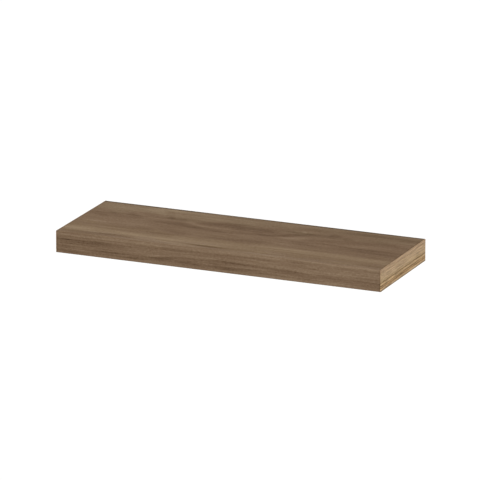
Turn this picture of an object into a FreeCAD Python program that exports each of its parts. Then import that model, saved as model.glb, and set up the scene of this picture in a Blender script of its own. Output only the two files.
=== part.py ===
import FreeCAD
import Part
import math
import os

# A floating wall shelf: a hollow board in wood decor that slides onto the rods of a hidden steel bracket.
# Sizes are in millimetres. X runs along the shelf, Y points into the wall and Z points up.
# The origin is the middle of the bracket's wall face, level with the rods.

# Board
shelf_length = 590.0
shelf_depth = 200.0
shelf_thickness = 38.0
skin_thickness = 3.0
skin_edge_radius = 0.6
foil_thickness = 0.4
edge_band_thickness = 0.8
edge_band_round = 0.4

# Frame between the skins
front_rail_width = 25.0
rear_rail_width = 30.0
end_rail_width = 22.0
rod_block_width = 60.0
core_strip_width = 26.6

# Staples over the corners of the frame
staple_crown = 12.0
staple_leg = 11.0
staple_wire = 1.2
staple_point = 1.5

# Paper core
cell_width = 26.0
paper_thickness = 0.4
core_clearance = 0.3

# Wall bracket
bar_thickness = 4.0
bar_end_gap = 22.2
bar_height_gap = 1.6
bar_corner_radius = 5.0
bar_edge_chamfer = 0.5
screw_head_space = 4.0
hole_inset = 18.0
hole_diameter = 6.0
slot_inset = 98.0
slot_length = 16.0
slot_width = 6.0

# Rods, riveted into the bar
rod_inset = 50.0
rod_diameter = 12.0
rod_shoulder = 2.0
rod_tip_chamfer = 1.5
rivet_flare = 1.4
rivet_clearance = 0.05

# Blind bores for the rods
rod_clearance = 0.1
bore_end_gap = 5.0
bore_end_wall = 9.0
drill_point_angle = 118.0

# Locking screws, each in a threaded insert under a rod
lock_setback = 70.0
screw_diameter = 6.0
screw_recess = 2.7
screw_tip_gap = 0.3
screw_chamfer = 0.8
screw_clearance = 0.05
socket_across_flats = 3.0
socket_depth = 3.5
insert_wall = 2.0
insert_top_gap = 1.9
insert_chamfer = 0.8
insert_flange_overhang = 1.5
insert_flange_thickness = 1.0
insert_clearance = 0.05
passage_clearance = 0.3

# Cuts run this far past the faces that they open
overrun = 2.0

X_AXIS = FreeCAD.Vector(1, 0, 0)
Y_AXIS = FreeCAD.Vector(0, 1, 0)
Z_AXIS = FreeCAD.Vector(0, 0, 1)
FULL_TURN = 360
HEX_CORNERS = 6
SIDES = {"left": -1, "right": 1}

# Places that follow from the sizes above
top_z = shelf_thickness / 2
skin_outer_z = top_z - foil_thickness
skin_inner_z = skin_outer_z - skin_thickness
foil_edge_radius = skin_edge_radius + foil_thickness
front_y = -shelf_depth
frame_front_y = front_y + foil_thickness
frame_end_x = shelf_length / 2 - edge_band_thickness
end_rail_inner_x = frame_end_x - end_rail_width
front_rail_back_y = frame_front_y + front_rail_width
rear_rail_back_y = -bar_thickness - screw_head_space
rear_rail_front_y = rear_rail_back_y - rear_rail_width
rod_block_front_y = front_rail_back_y + core_strip_width

bar_end_x = end_rail_inner_x - bar_end_gap
bar_top_z = skin_inner_z - bar_height_gap
rod_x = bar_end_x - rod_inset
rod_radius = rod_diameter / 2
neck_radius = rod_radius - rod_shoulder
rivet_radius = neck_radius + rivet_flare
bore_radius = rod_radius + rod_clearance
bore_end_y = rod_block_front_y + bore_end_wall
rod_tip_y = bore_end_y + bore_end_gap

lock_y = -lock_setback
screw_radius = screw_diameter / 2
screw_top_z = -rod_radius - screw_tip_gap
screw_bottom_z = -top_z + screw_recess
insert_radius = screw_radius + insert_wall
flange_radius = insert_radius + insert_flange_overhang
flange_top_z = -top_z + insert_flange_thickness
insert_top_z = -bore_radius - insert_top_gap


def vector(x, y, z):
    return FreeCAD.Vector(x, y, z)


def box(x0, x1, y0, y1, z0, z1):
    return Part.makeBox(x1 - x0, y1 - y0, z1 - z0, vector(x0, y0, z0))


def polygon(points):
    return Part.Face(Part.makePolygon(points + points[:1]))


def turned_upright(x, y, section):
    """Solid of revolution about a vertical axis, from half its section as (radius, z) pairs."""
    outline = [vector(x + radius, y, z) for radius, z in section]
    return polygon(outline).revolve(vector(x, y, 0), Z_AXIS, FULL_TURN)


def turned_level(x, section):
    """Solid of revolution about a rod's axis, from half its section as (radius, y) pairs."""
    outline = [vector(x + radius, y, 0) for radius, y in section]
    return polygon(outline).revolve(vector(x, 0, 0), Y_AXIS, FULL_TURN)


def hexagon(x, y, z, across_flats):
    """Level hexagon with two of its sides square to X."""
    corner_radius = across_flats / math.sqrt(3)
    points = []
    for k in range(HEX_CORNERS):
        angle = math.pi * (2 * k + 1) / HEX_CORNERS
        points.append(vector(x + corner_radius * math.cos(angle), y + corner_radius * math.sin(angle), z))
    return polygon(points)


def board_section(x, inset, rear_y, corner_radius):
    """The board's cross-section, inset from its outside, with its two front corners rounded."""
    half = top_z - inset
    front = front_y + inset
    bulge = corner_radius * (1 - math.sqrt(0.5))
    upper_start = vector(x, front + corner_radius, half)
    upper_end = vector(x, front, half - corner_radius)
    lower_start = vector(x, front, -half + corner_radius)
    lower_end = vector(x, front + corner_radius, -half)
    upper_rear = vector(x, rear_y, half)
    lower_rear = vector(x, rear_y, -half)
    edges = [
        Part.LineSegment(upper_rear, upper_start).toShape(),
        Part.Arc(upper_start, vector(x, front + bulge, half - bulge), upper_end).toShape(),
        Part.LineSegment(upper_end, lower_start).toShape(),
        Part.Arc(lower_start, vector(x, front + bulge, -half + bulge), lower_end).toShape(),
        Part.LineSegment(lower_end, lower_rear).toShape(),
        Part.LineSegment(lower_rear, upper_rear).toShape(),
    ]
    return Part.Face(Part.Wire(edges))


def insert_pocket(sign):
    """Stepped hole in the underside: a seat for the flange, a bore for the insert, a passage to the rod."""
    x = sign * rod_x
    seat = flange_radius + insert_clearance
    bore = insert_radius + insert_clearance
    passage = screw_radius + passage_clearance
    section = [
        (0, -top_z - overrun),
        (seat, -top_z - overrun),
        (seat, flange_top_z),
        (bore, flange_top_z),
        (bore, insert_top_z),
        (passage, insert_top_z),
        (passage, 0),
        (0, 0),
    ]
    return turned_upright(x, lock_y, section)


def rod_bore(sign):
    """Blind bore for one rod, from the bracket's channel to past the rod's tip, with the drill's cone."""
    cone_depth = bore_radius / math.tan(math.radians(drill_point_angle / 2))
    section = [
        (0, rear_rail_back_y + overrun),
        (bore_radius, rear_rail_back_y + overrun),
        (bore_radius, bore_end_y),
        (0, bore_end_y - cone_depth),
    ]
    return turned_level(sign * rod_x, section)


def decor_wrap():
    """Decor foil round the top, the front and the underside, in one piece."""
    outside = board_section(-frame_end_x, 0, 0, foil_edge_radius)
    inside = board_section(-frame_end_x, foil_thickness, overrun, skin_edge_radius)
    wrap = outside.cut(inside).extrude(X_AXIS * (2 * frame_end_x))
    return wrap.cut([insert_pocket(sign) for sign in SIDES.values()])


def skin(low_z, high_z):
    """One fibreboard skin, with its front edge rounded for the foil."""
    whole = board_section(-frame_end_x, foil_thickness, 0, skin_edge_radius)
    board = whole.extrude(X_AXIS * (2 * frame_end_x))
    return board.common(box(-frame_end_x, frame_end_x, front_y, 0, low_z, high_z))


def bottom_skin():
    return skin(-skin_outer_z, -skin_inner_z).cut([insert_pocket(sign) for sign in SIDES.values()])


def frame_strip(x0, x1, y0, y1):
    """One chipboard strip, as tall as the space between the skins."""
    return box(x0, x1, y0, y1, -skin_inner_z, skin_inner_z)


def staple(x, y, up):
    """Square-wire staple across a butt joint at x, flush with the frame's upper or lower face."""
    outer = staple_crown / 2
    inner = outer - staple_wire
    crown_top = skin_inner_z
    crown_bottom = crown_top - staple_wire
    tip = crown_top - staple_leg
    front = y - staple_wire / 2
    outline = [
        vector(x - outer, front, crown_top),
        vector(x + outer, front, crown_top),
        vector(x + outer, front, tip),
        vector(x + inner, front, tip + staple_point),
        vector(x + inner, front, crown_bottom),
        vector(x - inner, front, crown_bottom),
        vector(x - inner, front, tip + staple_point),
        vector(x - outer, front, tip),
    ]
    solid = polygon(outline).extrude(Y_AXIS * staple_wire)
    return solid if up else solid.mirror(vector(0, 0, 0), Z_AXIS)


def frame_staples():
    """Staples over the frame's four corners, on both faces."""
    front_joint_y = frame_front_y + front_rail_width / 2
    rear_joint_y = rear_rail_back_y - rear_rail_width / 2
    staples = []
    for sign in SIDES.values():
        for y in (front_joint_y, rear_joint_y):
            staples.append(staple(sign * end_rail_inner_x, y, True))
            staples.append(staple(sign * end_rail_inner_x, y, False))
    return staples


def front_rail():
    return frame_strip(-end_rail_inner_x, end_rail_inner_x, frame_front_y, front_rail_back_y)


def rear_rail():
    """Strip behind the bracket's channel, bored through for both rods."""
    strip = frame_strip(-end_rail_inner_x, end_rail_inner_x, rear_rail_front_y, rear_rail_back_y)
    return strip.cut([rod_bore(sign) for sign in SIDES.values()])


def end_rail(sign):
    """Strip along one end of the board, from the front edge to the wall."""
    x0, x1 = sorted((sign * end_rail_inner_x, sign * frame_end_x))
    return frame_strip(x0, x1, frame_front_y, 0)


def rod_block(sign):
    """Block glued to the rear rail, which takes one rod and the insert of its locking screw."""
    x = sign * rod_x
    half = rod_block_width / 2
    solid = frame_strip(x - half, x + half, rod_block_front_y, rear_rail_front_y)
    return solid.cut([rod_bore(sign), insert_pocket(sign)])


def core_outline():
    """Level face that the core fills: the frame's hollow less the rod blocks, with clearance all round."""
    base_z = -skin_inner_z
    end_x = end_rail_inner_x - core_clearance
    near_y = front_rail_back_y + core_clearance
    far_y = rear_rail_front_y - core_clearance
    notch_y = rod_block_front_y - core_clearance
    notch_half = rod_block_width / 2 + core_clearance
    outer = rod_x + notch_half
    inner = rod_x - notch_half
    right_half = [(end_x, near_y), (end_x, far_y), (outer, far_y)]
    right_half += [(outer, notch_y), (inner, notch_y), (inner, far_y)]
    left_half = [(-x, y) for x, y in reversed(right_half)]
    return polygon([vector(x, y, base_z) for x, y in right_half + left_half])


def honeycomb_core():
    """Expanded paper honeycomb: the walls square to X are two glued papers thick, the slanting walls one."""
    outline = core_outline()
    bounds = outline.BoundBox
    column_pitch = cell_width + 2 * paper_thickness
    row_pitch = (cell_width + paper_thickness - column_pitch / 4) * 2 / math.sqrt(3)
    columns = math.ceil(bounds.XMax / column_pitch) + 1
    rows = math.ceil(bounds.YLength / row_pitch) + 1
    cells = []
    for row in range(rows + 1):
        shift = column_pitch / 2 * (row % 2)
        for column in range(-columns, columns + 1):
            x = column * column_pitch + shift
            cells.append(hexagon(x, bounds.YMin + row * row_pitch, bounds.ZMin, cell_width))
    walls = max(outline.cut(cells).Faces, key=lambda face: face.Area)
    return walls.extrude(Z_AXIS * (2 * skin_inner_z))


def edge_band(sign):
    """Band over one end of the board, its outer edges eased."""
    section = board_section(sign * frame_end_x, 0, 0, foil_edge_radius)
    band = section.extrude(X_AXIS * (sign * edge_band_thickness))
    outer_face = max(band.Faces, key=lambda face: sign * face.CenterOfMass.x)
    return band.makeFillet(min(edge_band_round, edge_band_thickness / 2), outer_face.Edges)


def rivet_section(clearance):
    """Half section of a rod's neck where it is riveted into the bar, as (radius, y) pairs."""
    return [
        (0, 0),
        (rivet_radius + clearance, 0),
        (neck_radius + clearance, -rivet_flare),
        (neck_radius + clearance, -bar_thickness),
    ]


def rivet_seat(sign):
    return turned_level(sign * rod_x, rivet_section(rivet_clearance) + [(0, -bar_thickness)])


def fixing_hole(sign):
    start = vector(sign * (bar_end_x - hole_inset), -bar_thickness - overrun, 0)
    return Part.makeCylinder(hole_diameter / 2, bar_thickness + 2 * overrun, start, Y_AXIS)


def fixing_slot(sign):
    """Slot along the bar, which lets the second pair of screws find the wall's fixings."""
    x = sign * (bar_end_x - slot_inset)
    radius = slot_width / 2
    reach = slot_length / 2 - radius
    near_y = -bar_thickness - overrun
    middle = box(x - reach, x + reach, near_y, overrun, -radius, radius)
    ends = [
        Part.makeCylinder(radius, overrun - near_y, vector(end_x, near_y, 0), Y_AXIS)
        for end_x in (x - reach, x + reach)
    ]
    return middle.fuse(ends)


def bracket_bar():
    """Flat steel bar on the wall: rounded corners, chamfered front edges, rivet seats, holes and slots."""
    bar = box(-bar_end_x, bar_end_x, -bar_thickness, 0, -bar_top_z, bar_top_z)
    corners = [edge for edge in bar.Edges if edge.BoundBox.XLength + edge.BoundBox.ZLength < edge.Length / 2]
    bar = bar.makeFillet(bar_corner_radius, corners)
    front_face = min(bar.Faces, key=lambda face: face.CenterOfMass.y)
    bar = bar.makeChamfer(bar_edge_chamfer, front_face.Edges)
    for sign in SIDES.values():
        bar = bar.cut([rivet_seat(sign), fixing_hole(sign), fixing_slot(sign)])
    return bar


def rod(sign):
    """Rod with a chamfered tip, a shoulder seated on the bar and a neck riveted flush with the wall face."""
    section = rivet_section(0) + [
        (rod_radius, -bar_thickness),
        (rod_radius, rod_tip_y + rod_tip_chamfer),
        (rod_radius - rod_tip_chamfer, rod_tip_y),
        (0, rod_tip_y),
    ]
    return turned_level(sign * rod_x, section)


def lock_insert(sign):
    """Insert with its flange flush in the underside; its bore is drawn plain, at the thread's size."""
    bore = screw_radius + screw_clearance
    section = [
        (bore, -top_z),
        (flange_radius, -top_z),
        (flange_radius, flange_top_z),
        (insert_radius, flange_top_z),
        (insert_radius, insert_top_z - insert_chamfer),
        (insert_radius - insert_chamfer, insert_top_z),
        (bore, insert_top_z),
    ]
    return turned_upright(sign * rod_x, lock_y, section)


def lock_screw(sign):
    """Headless screw with a hexagon socket below and a flat tip just under the rod."""
    x = sign * rod_x
    section = [
        (0, screw_bottom_z),
        (screw_radius - screw_chamfer, screw_bottom_z),
        (screw_radius, screw_bottom_z + screw_chamfer),
        (screw_radius, screw_top_z - screw_chamfer),
        (screw_radius - screw_chamfer, screw_top_z),
        (0, screw_top_z),
    ]
    socket = hexagon(x, lock_y, screw_bottom_z - overrun, socket_across_flats)
    return turned_upright(x, lock_y, section).cut(socket.extrude(Z_AXIS * (socket_depth + overrun)))


def build():
    staples = frame_staples()
    nodes = {
        "decor_wrap": decor_wrap(),
        "top_skin": skin(skin_inner_z, skin_outer_z),
        "bottom_skin": bottom_skin(),
        "front_rail": front_rail().cut(staples),
        "rear_rail": rear_rail().cut(staples),
        "frame_staples": Part.makeCompound(staples),
        "honeycomb_core": honeycomb_core(),
        "bracket_bar": bracket_bar(),
    }
    for side, sign in SIDES.items():
        nodes[side + "_end_rail"] = end_rail(sign).cut(staples)
        nodes[side + "_rod_block"] = rod_block(sign)
        nodes[side + "_edge_band"] = edge_band(sign)
        nodes[side + "_rod"] = rod(sign)
        nodes[side + "_lock_insert"] = lock_insert(sign)
        nodes[side + "_lock_screw"] = lock_screw(sign)
    return nodes


os.makedirs("parts", exist_ok=True)
for name, shape in build().items():
    assert shape.isValid(), name
    shape.exportStep(os.path.join("parts", name + ".step"))
    print(name, len(shape.Solids), round(shape.Volume, 1))
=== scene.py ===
import math

import bpy
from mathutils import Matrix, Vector


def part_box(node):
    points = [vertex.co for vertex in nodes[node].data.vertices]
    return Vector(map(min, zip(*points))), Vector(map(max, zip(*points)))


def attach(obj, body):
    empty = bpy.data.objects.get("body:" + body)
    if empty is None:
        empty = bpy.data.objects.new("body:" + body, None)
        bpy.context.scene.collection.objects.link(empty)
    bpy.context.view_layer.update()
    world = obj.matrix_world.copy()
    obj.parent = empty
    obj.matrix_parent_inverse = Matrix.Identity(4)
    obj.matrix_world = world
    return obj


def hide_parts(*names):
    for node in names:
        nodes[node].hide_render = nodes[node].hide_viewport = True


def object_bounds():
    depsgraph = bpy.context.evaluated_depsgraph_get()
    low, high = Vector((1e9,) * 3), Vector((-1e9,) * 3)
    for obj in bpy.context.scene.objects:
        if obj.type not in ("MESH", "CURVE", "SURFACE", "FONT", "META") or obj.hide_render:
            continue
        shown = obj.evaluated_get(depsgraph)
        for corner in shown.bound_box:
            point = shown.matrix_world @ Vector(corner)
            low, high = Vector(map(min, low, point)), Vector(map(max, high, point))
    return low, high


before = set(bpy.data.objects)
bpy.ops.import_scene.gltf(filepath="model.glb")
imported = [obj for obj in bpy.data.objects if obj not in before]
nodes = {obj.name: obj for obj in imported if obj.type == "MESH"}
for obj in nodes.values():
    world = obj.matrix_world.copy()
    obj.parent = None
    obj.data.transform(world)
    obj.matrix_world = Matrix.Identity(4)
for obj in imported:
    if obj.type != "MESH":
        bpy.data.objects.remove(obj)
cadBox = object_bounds()


def linear(hexColour):
    # sRGB hex to the linear values that the sockets take
    parts = [int(hexColour[i:i + 2], 16) / 255 for i in (1, 3, 5)]
    return [p / 12.92 if p <= 0.04045 else ((p + 0.055) / 1.055) ** 2.4 for p in parts] + [1.0]


def feed(tree, node, inputs):
    # each input is a value, a node or one output of a node
    for socket, value in inputs.items():
        if isinstance(value, bpy.types.Node):
            value = value.outputs[0]
        if isinstance(value, bpy.types.NodeSocket):
            tree.links.new(value, node.inputs[socket])
        else:
            node.inputs[socket].default_value = value


def addNode(tree, kind, inputs=None, stops=(), **settings):
    # settings are the node's own; stops fill a colour ramp
    made = tree.nodes.new(kind)
    for name, value in settings.items():
        setattr(made, name, value)
    feed(tree, made, inputs or {})
    if stops:
        elements = made.color_ramp.elements
        while len(elements) > 1:
            elements.remove(elements[-1])
        for index, (place, colour) in enumerate(stops):
            element = elements[0] if index == 0 else elements.new(place)
            element.position = place
            element.color = linear(colour) if isinstance(colour, str) else (colour,) * 3 + (1.0,)
    return made


def startMaterial(name, settings):
    material = bpy.data.materials.new(name)
    material.use_nodes = True
    tree = material.node_tree
    shader = tree.nodes["Principled BSDF"]
    feed(tree, shader, settings)
    # Object coordinates in millimetres
    place = addNode(tree, "ShaderNodeTexCoord").outputs["Object"]
    place = addNode(tree, "ShaderNodeVectorMath", {0: place, "Scale": 1000.0}, operation="SCALE")
    return material, tree, shader, place


def stretchedNoise(tree, place, cell, detail=2.0, rough=0.5):
    # cell is the noise's size in mm along X, Y and Z
    perMm = [1 / mm for mm in cell]
    fitted = addNode(tree, "ShaderNodeVectorMath", {0: place, 1: perMm}, operation="MULTIPLY")
    return addNode(tree, "ShaderNodeTexNoise", {
        "Vector": fitted, "Scale": 1.0, "Detail": detail, "Roughness": rough,
    })


def addSwing(tree, base, noise, reach):
    # noise stays within about a quarter of its middle, so four times that swings base by reach each way
    centred = addNode(tree, "ShaderNodeMath", {0: noise, 1: 0.5}, operation="SUBTRACT")
    return addNode(tree, "ShaderNodeMath", {0: centred, 1: 4 * reach, 2: base}, operation="MULTIPLY_ADD")


def addSwings(tree, base, noise, reaches):
    # the same for three values at once, from the noise's colour
    centred = addNode(
        tree, "ShaderNodeVectorMath", {0: noise.outputs["Color"], 1: (0.5, 0.5, 0.5)}, operation="SUBTRACT"
    )
    scaled = [4 * reach for reach in reaches]
    return addNode(tree, "ShaderNodeVectorMath", {0: centred, 1: scaled, 2: base}, operation="MULTIPLY_ADD")


def addPores(tree, place, cell, sizes, tone):
    # short dashes, darker than the rest and slightly sunk: returns the tone and the height
    none, full = sizes["poreLimits"]
    noise = stretchedNoise(tree, place, cell, 0.0)
    pore = addNode(tree, "ShaderNodeMapRange", {"Value": noise, "From Min": none, "From Max": full})
    tone = addNode(
        tree, "ShaderNodeMath", {0: pore, 1: -sizes["poreDark"], 2: tone}, operation="MULTIPLY_ADD"
    )
    return tone, addNode(tree, "ShaderNodeMath", {0: 1.0, 1: pore}, operation="SUBTRACT")


def finishSurface(tree, shader, looks, height, relief):
    # relief is how many mm the height stands for, and the share of it that shows
    deep, shown = relief
    bump = addNode(tree, "ShaderNodeBump", {"Height": height, "Strength": shown, "Distance": deep / 1000})
    feed(tree, shader, {**looks, "Normal": bump})


def dress(material, *names):
    for name in names:
        for slot in nodes[name].material_slots:
            slot.material = material


# Camera: a very long lens, turned and tilted as the photograph is
viewpoint = {
    "azimuth": 23.342,      # degrees round from square on
    "elevation": 16.32,     # degrees above the horizon
    "distance": 10.2058,    # metres from the middle of the board
    "lens": 455.5,          # mm, on a 36 mm sensor
    "right": -0.000507,     # metres that the camera steps aside and up
    "up": 0.00938,
}


def addCamera(v):
    turn, tilt = math.radians(v["azimuth"]), math.radians(v["elevation"])
    ahead = Vector((-math.sin(turn) * math.cos(tilt), math.cos(turn) * math.cos(tilt), -math.sin(tilt)))
    aside = Vector((math.cos(turn), math.sin(turn), 0.0))
    camera = bpy.data.objects.new("camera", bpy.data.cameras.new("camera"))
    camera.data.lens = v["lens"]
    camera.location = (cadBox[0] + cadBox[1]) / 2 - ahead * v["distance"]
    camera.location += aside * v["right"] + aside.cross(ahead) * v["up"]
    camera.rotation_euler = ahead.to_track_quat("-Z", "Y").to_euler()
    bpy.context.collection.objects.link(camera)
    bpy.context.scene.camera = camera


addCamera(viewpoint)

# Studio: white room light, two broad soft lamps, a white floor far below the shelf
studio = {
    "roomLight": 0.62,
    "floorDrop": 0.9,       # metres below the shelf's middle
    "floorSize": 60.0,      # metres
    "floorLift": 0.2,       # glow on top of the light that it gets
    "lamps": {
        # name: degrees round, degrees up, degrees wide, strength
        "keyLamp": (-30.0, 54.0, 90.0, 1.05),
        "fillLamp": (55.0, 25.0, 60.0, 0.55),
    },
}


def seenRays(tree):
    # 1 for what the camera, a gloss or a glass sees
    path = addNode(tree, "ShaderNodeLightPath").outputs
    camera, gloss = path["Is Camera Ray"], path["Is Glossy Ray"]
    seen = addNode(tree, "ShaderNodeMath", {0: camera, 1: gloss}, operation="MAXIMUM")
    return addNode(tree, "ShaderNodeMath", {0: seen, 1: path["Is Transmission Ray"]}, operation="MAXIMUM")


def buildStudio(s):
    world = bpy.data.worlds.new("white room")
    bpy.context.scene.world = world
    world.use_nodes = True
    tree = world.node_tree
    tree.nodes.clear()
    room = addNode(tree, "ShaderNodeBackground", {"Color": linear("#ffffff"), "Strength": s["roomLight"]})
    shown = addNode(tree, "ShaderNodeBackground", {"Color": linear("#ffffff"), "Strength": 1.0})
    both = addNode(tree, "ShaderNodeMixShader", {0: seenRays(tree), 1: room, 2: shown})
    addNode(tree, "ShaderNodeOutputWorld", {"Surface": both})

    for name, (around, up, wide, strength) in s["lamps"].items():
        lamp = bpy.data.lights.new(name, "SUN")
        lamp.angle = math.radians(wide)
        lamp.energy = strength
        holder = bpy.data.objects.new(name, lamp)
        a, e = math.radians(around), math.radians(up)
        towards = Vector((math.sin(a) * math.cos(e), -math.cos(a) * math.cos(e), math.sin(e)))
        holder.rotation_euler = towards.to_track_quat("Z", "Y").to_euler()
        bpy.context.collection.objects.link(holder)

    half = s["floorSize"] / 2
    mesh = bpy.data.meshes.new("floor")
    corners = [(-half, -half), (half, -half), (half, half), (-half, half)]
    mesh.from_pydata([(x, y, -s["floorDrop"]) for x, y in corners], [], [(0, 1, 2, 3)])
    floor = bpy.data.objects.new("floor", mesh)
    bpy.context.collection.objects.link(floor)
    # the floor shows white where it is lit and keeps a shadow; it can't be seen from below
    material = bpy.data.materials.new("white floor")
    material.use_nodes = True
    tree = material.node_tree
    tree.nodes.clear()
    matt = addNode(tree, "ShaderNodeBsdfDiffuse", {"Color": linear("#f0f0f0")})
    lift = addNode(tree, "ShaderNodeMath", {0: seenRays(tree), 1: s["floorLift"]}, operation="MULTIPLY")
    glow = addNode(tree, "ShaderNodeEmission", {"Color": linear("#ffffff"), "Strength": lift})
    lit = addNode(tree, "ShaderNodeAddShader", {0: matt, 1: glow})
    clear = addNode(tree, "ShaderNodeBsdfTransparent")
    under = addNode(tree, "ShaderNodeNewGeometry").outputs["Backfacing"]
    both = addNode(tree, "ShaderNodeMixShader", {0: under, 1: lit, 2: clear})
    addNode(tree, "ShaderNodeOutputMaterial", {"Surface": both})
    mesh.materials.append(material)


buildStudio(studio)
bpy.context.scene.view_settings.view_transform = "Standard"
print("camera and studio ready")

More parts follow.
